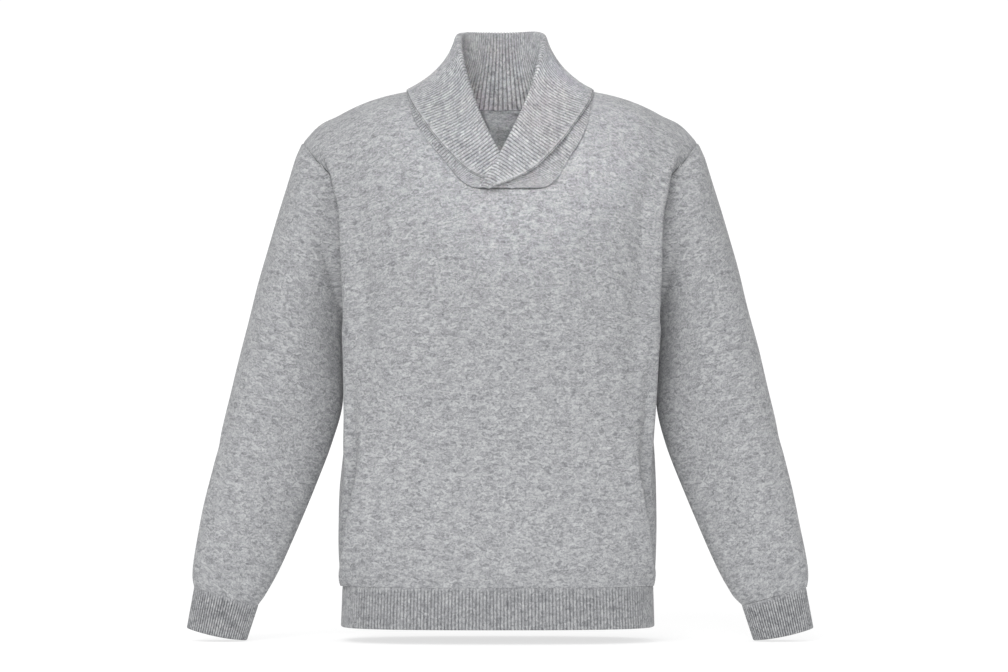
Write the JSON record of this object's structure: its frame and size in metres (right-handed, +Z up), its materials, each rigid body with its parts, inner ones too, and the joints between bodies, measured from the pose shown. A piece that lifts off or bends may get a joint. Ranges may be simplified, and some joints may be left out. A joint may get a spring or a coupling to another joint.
{
  "type": "knit sweater",
  "caption": "Long-sleeved shawl-collar pullover in heathered knit with ribbed collar, cuffs and hem, hollow and filled out as if worn.",
  "frame": {"origin": "the middle of the neck, level with the tops of the shoulders, where the wearer's neck and shoulders hold the garment", "axes": "+Z up, -Y the way the front faces, +X towards the wearer's left sleeve"},
  "size_m": [0.8, 0.2516, 0.7801],
  "materials": {
    "jersey": "heathered grey plain knit, soft and matt with a light fuzz",
    "rib": "heathered grey one-by-one rib, matt",
    "collar_rib": "heathered grey one-by-one rib, matt, turned over into a fall"
  },
  "bodies": {
    "root": {"front_panel": "jersey", "back_panel": "jersey", "sleeve_left": "jersey", "sleeve_right": "jersey", "cuff_left": "rib", "cuff_right": "rib", "hem_rib": "rib", "collar": "collar_rib"}
  },
  "joints": []
}
